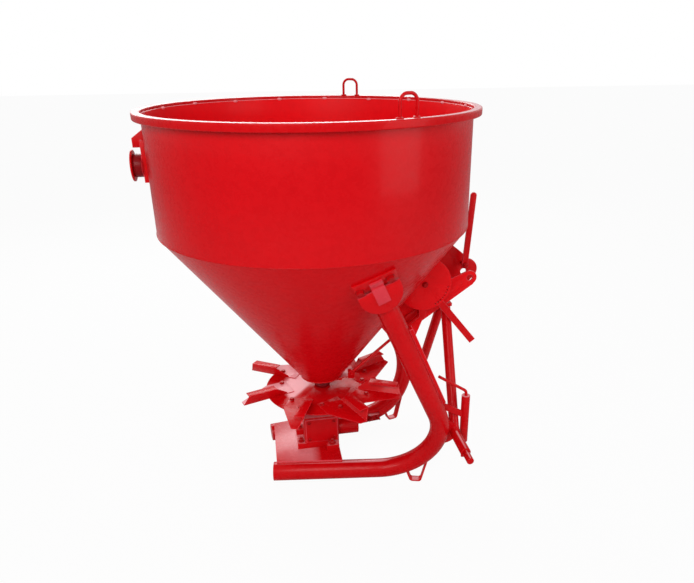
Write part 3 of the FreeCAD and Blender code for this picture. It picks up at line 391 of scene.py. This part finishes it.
def sockets_of(tree, inputs, output):
    """Names the tree's inputs and its one output."""
    for word, kind in inputs.items():
        tree.interface.new_socket(word, in_out="INPUT", socket_type="NodeSocket" + kind)
    tree.interface.new_socket(output, in_out="OUTPUT", socket_type="NodeSocketGeometry")
    return add(tree, "NodeGroupInput").outputs


def grown(name, mesh, tree, values):
    """The plain mesh that the tree makes from the given mesh."""
    host = bpy.data.objects.new(name + "_host", mesh)
    bpy.context.scene.collection.objects.link(host)
    modifier = host.modifiers.new(tree.name, "NODES")
    modifier.node_group = tree
    for item in tree.interface.items_tree:
        if item.in_out == "INPUT" and item.name in values:
            modifier[item.identifier] = values[item.name]
    bpy.context.view_layer.update()
    result = bpy.data.meshes.new_from_object(host.evaluated_get(bpy.context.evaluated_depsgraph_get()))
    bpy.data.objects.remove(host)
    bpy.data.meshes.remove(mesh)
    for word in ("facing", "girth"):
        if word in result.attributes:
            result.attributes.remove(result.attributes[word])
    return result


def weld_tree():
    """Geometry Nodes: a rippled bead along each run, as thick as the run's own girth."""
    tree = bpy.data.node_groups.new("weld_beads_along_runs", "GeometryNodeTree")
    given = sockets_of(tree, {"Runs": "Geometry", "Ripple length": "Float", "Ripple low": "Float",
                              "Ripple high": "Float", "Seed": "Int", "Finish": "Material"}, "Beads")
    curves = add(tree, "GeometryNodeMeshToCurve", {0: given["Runs"]})
    even = add(tree, "GeometryNodeResampleCurve", {"Curve": curves.outputs[0],
                                                   "Length": given["Ripple length"]}, mode="LENGTH")
    flip = add(tree, "ShaderNodeMath", {0: add(tree, "GeometryNodeInputIndex").outputs[0], 1: 2.0},
               operation="MODULO")
    crest = add(tree, "ShaderNodeMapRange", {0: flip.outputs[0], 1: 0.0, 2: 1.0, 3: given["Ripple low"],
                                             4: given["Ripple high"]})
    chance = add(tree, "FunctionNodeRandomValue", {2: 0.9, 3: 1.1, "Seed": given["Seed"]}, data_type="FLOAT")
    girth = add(tree, "GeometryNodeInputNamedAttribute", {"Name": "girth"}, data_type="FLOAT")
    rough = add(tree, "ShaderNodeMath", {0: crest.outputs[0], 1: chance.outputs[1]}, operation="MULTIPLY")
    thick = add(tree, "ShaderNodeMath", {0: rough.outputs[0], 1: girth.outputs[0]}, operation="MULTIPLY")
    ring = add(tree, "GeometryNodeCurvePrimitiveCircle", {"Resolution": 8, "Radius": 1.0}, mode="RADIUS")
    bead = add(tree, "GeometryNodeCurveToMesh", {
        "Curve": even.outputs[0], "Profile Curve": ring.outputs[0], "Scale": thick.outputs[0],
        "Fill Caps": True})
    real = add(tree, "GeometryNodeRealizeInstances", {"Geometry": bead.outputs[0]})
    painted = add(tree, "GeometryNodeSetMaterial", {"Geometry": real.outputs[0],
                                                    "Material": given["Finish"]})
    add(tree, "NodeGroupOutput", {0: painted.outputs[0]})
    return tree


WELD_BEADS = weld_tree()
BEAD_SEED = 11
START_GIRTH = 0.4          # a bead starts and stops thin


def welds(name, runs, ripple=0.004, finish=WELD):
    """One mesh of beads; each run lists its points, its girth or one for each point, and if it closes."""
    points, edges, girths = [], [], []
    for line, girth, closed in runs:
        first, line = len(points), list(line)
        girth = list(girth) if isinstance(girth, (list, tuple)) else [girth] * len(line)
        if not closed:
            for end, inner in ((0, 1), (-1, -2)):
                share = min(0.4, 1.5 * ripple / (line[inner] - line[end]).length)
                spot = 1 if end == 0 else len(line) - 1
                line.insert(spot, line[end].lerp(line[inner], share))
                girth.insert(spot, girth[end])
                girth[end] *= START_GIRTH
        points += line
        girths += girth
        edges += [(first + i, first + i + 1) for i in range(len(line) - 1)]
        if closed:
            edges.append((first + len(line) - 1, first))
    mesh = bpy.data.meshes.new(name + "_runs")
    mesh.from_pydata(points, edges, [])
    mesh.attributes.new("girth", "FLOAT", "POINT").data.foreach_set("value", girths)
    made = grown(name, mesh, WELD_BEADS, {"Ripple length": ripple, "Ripple low": 0.86, "Ripple high": 1.14,
                                          "Seed": BEAD_SEED, "Finish": finish})
    place(name, made, "frame", finish, smooth=60)


def turned(bm, base, axis, outline, sides=24):
    """A solid turned about the axis; outline lists (distance along, radius)."""
    axis = axis.normalized()
    side = axis.orthogonal().normalized()
    other = axis.cross(side)
    rings = []
    for along, radius in outline:
        centre = base + axis * along
        rings.append([bm.verts.new(centre + radius * (math.cos(2 * math.pi * k / sides) * side
                                                      + math.sin(2 * math.pi * k / sides) * other))
                      for k in range(sides)])
    for one, two in zip(rings, rings[1:]):
        for k in range(sides):
            j = (k + 1) % sides
            bm.faces.new((one[k], one[j], two[j], two[k]))
    bm.faces.new(rings[0][::-1])
    bm.faces.new(rings[-1])


def hexagon(bm, base, axis, across, height):
    """A six-sided head or nut with its corners turned off."""
    side = axis.orthogonal().normalized()
    other = axis.cross(side)
    corner = across / math.sqrt(3)
    rings = []
    for along, radius in ((0, corner), (height * 0.82, corner), (height, corner * 0.84)):
        centre = base + axis * along
        rings.append([bm.verts.new(centre + radius * (math.cos(math.pi * k / 3) * side
                                                      + math.sin(math.pi * k / 3) * other))
                      for k in range(6)])
    for one, two in zip(rings, rings[1:]):
        for k in range(6):
            j = (k + 1) % 6
            bm.faces.new((one[k], one[j], two[j], two[k]))
    bm.faces.new(rings[0][::-1])
    bm.faces.new(rings[-1])


UP = Vector((0, 0, 1))
OUT = Vector((0, -1, 0))   # out of the right-hand side


def bolt_blank(stud=0.0):
    """A bolt one unit across its flats: washer and head; with a stud, the end stands through its nut."""
    bm = bmesh.new()
    turned(bm, Vector(), UP, [(0, 0.66), (0.05, 0.68), (0.10, 0.62)])
    hexagon(bm, UP * 0.10, UP, 1.0, 0.465)
    if stud:
        turned(bm, UP * 0.534, UP, [(0, 0.31), (stud * 0.85, 0.31), (stud, 0.236)], 16)
    return from_bmesh("bolt_blank", bm)


def screw_blank():
    """A pan-headed screw one unit across, with its recess."""
    bm = bmesh.new()
    turned(bm, Vector(), UP, [(0, 0.5), (0.233, 0.48), (0.32, 0.4), (0.32, 0.227), (0.147, 0.213)], 20)
    return from_bmesh("screw_blank", bm)


def fastener_tree():
    """Geometry Nodes: a fastener on each point, along that point's facing and turned at random."""
    tree = bpy.data.node_groups.new("fasteners_on_points", "GeometryNodeTree")
    given = sockets_of(tree, {"Points": "Geometry", "Fastener": "Object", "Across flats": "Float",
                              "Seed": "Int", "Finish": "Material"}, "Fasteners")
    facing = add(tree, "GeometryNodeInputNamedAttribute", {"Name": "facing"}, data_type="FLOAT_VECTOR")
    stand = add(tree, "FunctionNodeAlignRotationToVector", {"Vector": facing.outputs[0]}, axis="Z")
    chance = add(tree, "FunctionNodeRandomValue", {2: 0.0, 3: math.pi / 3, "Seed": given["Seed"]},
                 data_type="FLOAT")
    twist = add(tree, "FunctionNodeAxisAngleToRotation", {"Axis": (0.0, 0.0, 1.0),
                                                          "Angle": chance.outputs[1]})
    turn = add(tree, "FunctionNodeRotateRotation", {0: stand.outputs[0], 1: twist.outputs[0]},
               rotation_space="LOCAL")
    one = add(tree, "GeometryNodeObjectInfo", {"Object": given["Fastener"]})
    many = add(tree, "GeometryNodeInstanceOnPoints", {
        "Points": given["Points"], "Instance": one.outputs["Geometry"], "Rotation": turn.outputs[0],
        "Scale": given["Across flats"]})
    real = add(tree, "GeometryNodeRealizeInstances", {"Geometry": many.outputs[0]})
    painted = add(tree, "GeometryNodeSetMaterial", {"Geometry": real.outputs[0],
                                                    "Material": given["Finish"]})
    add(tree, "NodeGroupOutput", {0: painted.outputs[0]})
    return tree


FASTENERS = fastener_tree()
TURN_SEED = 7


def fasteners(name, spots, across, blank, body="frame"):
    """One mesh of fasteners; each spot is a point and the way its fastener faces."""
    points = bpy.data.meshes.new(name + "_points")
    points.from_pydata([at for at, _ in spots], [], [])
    facing = points.attributes.new("facing", "FLOAT_VECTOR", "POINT")
    facing.data.foreach_set("vector", [part for _, way in spots for part in way.normalized()])
    one = bpy.data.objects.new(name + "_one", blank)
    bpy.context.scene.collection.objects.link(one)
    mesh = grown(name, points, FASTENERS, {"Fastener": one, "Across flats": across,
                                           "Seed": TURN_SEED, "Finish": FASTENER})
    bpy.data.objects.remove(one)
    bpy.data.meshes.remove(blank)
    place(name, mesh, body, FASTENER, smooth=30)


def tree_of(node):
    """The CAD node's faces, for rays."""
    bm = bmesh.new()
    bm.from_mesh(NODES[node].data)
    tree = BVHTree.FromBMesh(bm)
    bm.free()
    return tree


def hit(tree, origin, towards):
    """Where a ray meets the CAD node, and the surface's direction there."""
    at, normal, _, _ = tree.ray_cast(origin, (towards - origin).normalized())
    return at, normal


# ---- measures of the frame, metres ------------------------------------------------------
wall_low, wall_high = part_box("hopper_shell")
cone_low, cone_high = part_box("hopper_cone")
AXIS_X = (wall_low.x + wall_high.x) / 2
WALL_R = (wall_high.x - wall_low.x) / 2
SEAM_Z = cone_high.z
OUTLET_Z = cone_low.z
OUTLET_R = 0.085
SHEET_T = 0.003
CENTRE = (AXIS_X, 0.0)


def cone_r(z):
    """The cone's outer radius at this height."""
    return OUTLET_R + (WALL_R - OUTLET_R) * (z - OUTLET_Z) / (SEAM_Z - OUTLET_Z)


def on_wall(radius, angle, z):
    """The point at this radius and angle, in radians, round the hopper's axis."""
    return Vector((AXIS_X + radius * math.cos(angle), radius * math.sin(angle), z))


def circle(radius, z, count=360):
    """Points round the hopper's axis at this radius and height."""
    return [on_wall(radius, math.radians(360.0 * i / count), z) for i in range(count)]


# ---- hopper -----------------------------------------------------------------------------
profile = rounded_profile([(WALL_R, wall_low.z), (WALL_R, wall_high.z), (WALL_R - SHEET_T, wall_high.z),
                           (WALL_R - SHEET_T, wall_low.z)], 0.0012, 3)
shell = place("hopper_wall", from_bmesh("hopper_wall", lathe(profile, CENTRE)), "frame", SHEET,
              stands_for=("hopper_shell",))
thick = SHEET_T * math.hypot(WALL_R - OUTLET_R, SEAM_Z - OUTLET_Z) / (SEAM_Z - OUTLET_Z)
profile = [(WALL_R, SEAM_Z - 0.0005), (WALL_R - thick, SEAM_Z - 0.0005), (OUTLET_R - thick, OUTLET_Z),
           (OUTLET_R, OUTLET_Z)]
cone = place("hopper_funnel", from_bmesh("hopper_funnel", lathe(profile, CENTRE)), "frame", FUNNEL,
             stands_for=("hopper_cone",))
# inner faces take the inside enamel, whose brighter red is painted light
for piece in (shell, cone):
    piece.data.materials.append(INSIDE)
    for face in piece.data.polygons:
        out = Vector((face.center.x - AXIS_X, face.center.y, 0))
        if face.normal.dot(out) < 0:
            face.material_index = 1

rim_low, rim_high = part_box("hopper_rim")
profile = rounded_profile([(WALL_R, rim_low.z), ((rim_high.x - rim_low.x) / 2, rim_low.z),
                           ((rim_high.x - rim_low.x) / 2, rim_high.z), (WALL_R, rim_high.z)], 0.0045, 5)
place("rim_band", from_bmesh("rim_band", lathe(profile, CENTRE)), "frame", TUBE, stands_for=("hopper_rim",))

WALL_SEAM = math.radians(118.0)
welds("hopper_seams", [
    (circle(WALL_R - 0.0004, SEAM_Z), 0.0020, True), (circle(WALL_R + 0.0006, rim_low.z), 0.0028, True),
    (circle(OUTLET_R + 0.0008, OUTLET_Z - 0.0005, 180), 0.0026, True),
    ([on_wall(WALL_R, WALL_SEAM, SEAM_Z + 0.002), on_wall(WALL_R, WALL_SEAM, rim_low.z - 0.002)],
     0.0022, False)])

TACKS = 18
FIRST_TACK = 18.5
TACK_R = WALL_R - 0.0022
TACK_HALF = 0.011          # half of a tack's length
TACK_GIRTH = 0.0052
tacks = []
for i in range(TACKS):
    points, girths = [], []
    for k in range(-4, 5):
        t = k / 4
        a = math.radians(i * 360.0 / TACKS + FIRST_TACK) + t * TACK_HALF / WALL_R
        points.append(on_wall(TACK_R, a, wall_high.z + 0.0016 * math.sin(i * 2.3)))
        girths.append(TACK_GIRTH * math.sqrt(max(0.06, 1 - t * t)))
    tacks.append((points, girths, False))
# a thin bead along the tacks; it and the tacks take the painted highlight
tacks.append((circle(TACK_R + 0.0006, wall_high.z), 0.0013, True))
welds("rim_tack_welds", tacks, 0.0026, finish=TACK_HIGHLIGHT)


# ---- softened copies of the remaining nodes -----------------------------------------------
# each node's finish, the width of its rounded edges, and if these take a painted edge highlight
SOFT = {
    "base_plate": (BED, 0.0016, True), "gearbox_housing": (CAST, 0.0035, True),
    "gearbox_cover": (CAST, 0.0018, True), "input_guard": (TUBE, 0.0012, False),
    "outlet_plate": (PLATE, 0.0010, False), "gate_guides": (PLATE, 0.0010, False),
    "side_tube_left": (TUBE, 0.0010, False), "side_tube_right": (TUBE, 0.0010, False),
    "tube_rib_left": (PLATE, 0.0016, True), "tube_rib_right": (PLATE, 0.0016, True),
    "frame_bracket_left": (PLATE, 0.0022, True), "frame_bracket_right": (PLATE, 0.0022, True),
    "rest_loop_left": (PLATE, 0.0010, False), "rest_loop_right": (PLATE, 0.0010, False),
    "headstock_leg_left": (TUBE, 0.0010, False), "headstock_leg_right": (TUBE, 0.0010, False),
    "lower_hitch_pin_left": (TUBE, 0.0006, False), "lower_hitch_pin_right": (TUBE, 0.0006, False),
    "hitch_gusset_left": (PLATE, 0.0016, False), "hitch_gusset_right": (PLATE, 0.0016, False),
    "quadrant_plate": (PLATE_LIT, 0.0026, True), "hitch_plate_left": (PLATE, 0.0020, True),
    "hitch_plate_right": (PLATE_LIT, 0.0020, True), "hitch_spacer": (PLATE, 0.0015, False),
    "lever_bolt": (FASTENER, 0.0010, False), "control_lever": (PLATE, 0.0015, True),
    "control_bolt": (FASTENER, 0.0010, False), "latch_sleeve": (TUBE, 0.0012, True),
    "latch_rod": (TUBE, 0.0008, False), "marker_bracket": (PLATE, 0.0012, True),
    "rear_marker": (PLATE, 0.0016, False), "lifting_lug_left": (TUBE, 0.0006, False),
    "lifting_lug_right": (TUBE, 0.0006, False), "spinner_disc": (DISC, 0.0016, False),
    "spinner_vanes": (VANE, 0.0009, True), "agitator": (TUBE, 0.0010, False),
    "dosage_lever": (PLATE, 0.0014, True), "shutter_rod": (TUBE, 0.0010, False),
    "shutter_gate": (PLATE, 0.0010, False), "spinner_spindle": (PAINTED_SHADE, 0.0012, False),
}
for node, (material, width, highlight) in SOFT.items():
    soften(node, material, width, highlight=EDGE_HIGHLIGHT if highlight else None)
soften("input_shaft", STEEL, 0.0012, slot="bare_steel")


# ---- weld beads -------------------------------------------------------------------------
TOE_OUT = math.radians(8.0)     # each side tube's turn away from the middle


def mm(x, y, z):
    """A point given in millimetres."""
    return Vector((x, y, z)) * 0.001


def cope_line(y, low, high, clear=0.0006, steps=40):
    """Where an upright plate's face at this y meets the cone."""
    heights = [low + (high - low) * i / steps for i in range(steps + 1)]
    return [Vector((AXIS_X + math.sqrt(cone_r(z) ** 2 - y ** 2) + clear, y, z)) for z in heights]


right_low, right_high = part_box("hitch_plate_right")
left_low, left_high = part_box("hitch_plate_left")
quadrant_low, quadrant_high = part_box("quadrant_plate")
plate_low, plate_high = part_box("base_plate")
runs = []
for low, high, bottom, top in ((right_low, right_high, 0.636, 0.903), (left_low, left_high, 0.694, 0.902)):
    for y in (low.y - 0.001, high.y + 0.001):
        runs.append((cope_line(y, bottom, top), 0.0040, False))
runs.append((cope_line(quadrant_low.y - 0.001, quadrant_low.z + 0.020, quadrant_high.z - 0.002), 0.0030,
             False))
PLATE_TO_TUBE = 0.1755          # from the middle to the weld, at the hopper's axis
for side in (-1, 1):
    line = []
    for i in range(28):
        x = plate_low.x + (plate_high.x - plate_low.x) * i / 27
        line.append(Vector((x, side * (PLATE_TO_TUBE + (x - AXIS_X) * math.tan(TOE_OUT)),
                            plate_low.z + 0.001)))
    runs.append((line, 0.0036, False))
welds("plate_welds", runs, 0.0035)


# ---- bolts, straps and small fittings -----------------------------------------------------
SINK = 0.0003              # how deep a washer sits in the paint


def fastened(name, node, spots, across, stud=0.0):
    """Bolts on the CAD node: each spot is a point near the surface and the way its bolt faces."""
    tree = tree_of(node)
    seats = [hit(tree, spot + way * 0.06, spot) for spot, way in spots]
    fasteners(name, [(at - normal * SINK, normal) for at, normal in seats], across, bolt_blank(stud))


# the cone brackets' bolts, and the strap over each: a face is the strap's where it stands proud, which is
# measured off the cone above the fold, and outwards from the strap's middle below it
STRAP_HALF = 0.0235             # half its width
STRAP_FOLD = 0.016              # above its middle
OFF_CONE, OFF_MIDDLE = 0.0088, 0.007
CONE_LEAN = 0.805               # distance square to the cone for each metre outwards
for side, word in ((-1, "right"), (1, "left")):
    way = Vector((0.28, side * 0.75, -0.59)).normalized()
    fastened("bracket_bolts_" + word, "frame_bracket_" + word,
             [(mm(159.6, side * 499.8, 1012.3), way), (mm(64.0, side * 488.1, 965.0), way)], 0.024)
    along = Vector((-0.394, side * 0.192, 0.899))
    outward = Vector((0.077, side * 0.981, -0.176))
    across = Vector((0.916, 0.0, 0.401))
    middle = mm(133.1, side * 490.7, 951.9)
    bracket = bpy.data.objects["visual_frame_bracket_" + word]
    bracket.data.materials.append(STRAP)
    strap = len(bracket.data.materials) - 1
    for face in bracket.data.polygons:
        arm = face.center - middle
        if abs(arm.dot(across)) > STRAP_HALF:
            continue
        radius = math.hypot(face.center.x - AXIS_X, face.center.y)
        if arm.dot(along) > STRAP_FOLD:
            proud = (radius - cone_r(face.center.z)) * CONE_LEAN > OFF_CONE
        else:
            proud = arm.dot(outward) > OFF_MIDDLE
        if proud:
            face.material_index = strap

fastened("foot_bolts", "gearbox_housing",
         [(mm(x, y, 130), UP) for x, y in ((-127, -54), (-127, 54), (2, -95), (2, 95))], 0.021, 0.48)
cover_low, cover_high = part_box("gearbox_cover")
INSET = 0.014              # of a screw from the cover's edges
fasteners("cover_screws", [(Vector((x, cover_low.y + SINK, z)), OUT)
                           for x in (cover_low.x + INSET, cover_high.x - INSET)
                           for z in (cover_low.z + INSET, cover_high.z - INSET)], 0.015, screw_blank())

bolt_low, bolt_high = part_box("lever_bolt")
lever_pivot = (bolt_low + bolt_high) / 2
post_low, post_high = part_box("control_bolt")
lever_low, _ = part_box("control_lever")
post_pivot = (post_low + post_high) / 2
fasteners("pivot_bolts", [(Vector((lever_pivot.x, quadrant_low.y - 0.0002, lever_pivot.z)), OUT),
                          (Vector((post_pivot.x, lever_low.y - 0.0016, post_pivot.z)), OUT)], 0.018,
          bolt_blank())
fasteners("pivot_nuts", [(Vector((lever_pivot.x, right_high.y + 0.0002, lever_pivot.z)), -OUT),
                         (Vector((post_pivot.x, left_high.y + 0.0002, post_pivot.z)), -OUT)], 0.024,
          bolt_blank(0.33))

# two bolts hold each vane: their distance out along its azimuth and to its side
VANE_AZIMUTHS = (148.5, 199.0, 248.5, 293.5, 334.0, 28.0, 68.0, 108.0)
seats = []
VANE_TOP = Vector((AXIS_X, 0, disc_high.z + 0.0029))
for azimuth in VANE_AZIMUTHS:
    a = math.radians(azimuth)
    radial, aside = Vector((math.cos(a), math.sin(a), 0)), Vector((-math.sin(a), math.cos(a), 0))
    for out, across in ((0.148, -0.086), (0.204, -0.034)):
        seats.append((VANE_TOP + radial * out + aside * across, UP))
fasteners("vane_bolts", seats, 0.015, bolt_blank(), BODY_OF["spinner_vanes"])


# flat stiffener on the right-hand plate, and the clamp on the left tube's inner side
def rounded_bar(centre, axes, size, round_off):
    """A bar with rounded edges; axes are its three directions and size its three lengths."""
    bm = bmesh.new()
    made = bmesh.ops.create_cube(bm, size=1.0)["verts"]
    for vert in made:
        c = vert.co.copy()
        vert.co = centre + axes[0] * (c.x * size[0]) + axes[1] * (c.y * size[1]) + axes[2] * (c.z * size[2])
    edges = list({edge for vert in made for edge in vert.link_edges})
    bmesh.ops.bevel(bm, geom=edges, offset=round_off, segments=2, affect="EDGES", profile=0.6)
    return bm


face_y = right_low.y * 1000 - 2.2
start, end = mm(325, face_y, 653), mm(391, face_y, 699)
run = (end - start).normalized()
bar = rounded_bar((start + end) / 2, (run, OUT, run.cross(OUT)),
                  ((end - start).length, 0.0050, 0.028), 0.0010)
place("hitch_stiffener", from_bmesh("hitch_stiffener", bar), "frame", PLATE, smooth=30)

run = Vector((math.cos(TOE_OUT), math.sin(TOE_OUT), 0))
inward = Vector((math.sin(TOE_OUT), -math.cos(TOE_OUT), 0))
at, _ = hit(tree_of("side_tube_left"), mm(232, 90, 61), mm(232, 200, 61))
bar = rounded_bar(at + inward * 0.004, (run, inward, UP), (0.052, 0.016, 0.030), 0.004)
place("tube_clamp", from_bmesh("tube_clamp", bar), "frame", FASTENER, smooth=40)
fasteners("clamp_bolts", [(at + inward * 0.0118 + run * offset, inward) for offset in (-0.015, 0.015)],
          0.014, bolt_blank(0.29))


def feet(node):
    """Where the legs of a bent rod stand: centres of the clusters of its lowest points."""
    points = [v.co.copy() for v in NODES[node].data.vertices]
    floor_z = min(point.z for point in points)
    low = [point for point in points if point.z < floor_z + 0.0006]
    mean = sum(low, Vector()) / len(low)
    far = max(low, key=lambda point: (point - mean).length)
    groups = ([], [])
    for point in low:
        groups[0 if (point - mean).dot(far - mean) > 0 else 1].append(point)
    return [sum(group, Vector()) / len(group) for group in groups]


LUG_WELD_R = 0.0078
lug_ring = [Vector((LUG_WELD_R * math.cos(k * math.pi / 6), LUG_WELD_R * math.sin(k * math.pi / 6), 0.0012))
            for k in range(12)]
welds("lug_welds", [([foot + step for step in lug_ring], 0.0034, True)
                    for node in ("lifting_lug_left", "lifting_lug_right") for foot in feet(node)], 0.0030)

# the drum behind the marker gets painted shade
DRUM_R = 0.0405
OFF_WALL = 0.019                # the drum starts this far from the hopper's wall
drum = bpy.data.objects["visual_marker_bracket"]
marker_low, marker_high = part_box("rear_marker")
drum.data.materials.append(PAINTED_SHADE)
shade_slot = len(drum.data.materials) - 1
for face in drum.data.polygons:
    height = face.center.z - (marker_low.z + marker_high.z) / 2
    if face.center.x < AXIS_X - WALL_R - OFF_WALL and math.hypot(face.center.y, height) < DRUM_R:
        face.material_index = shade_slot
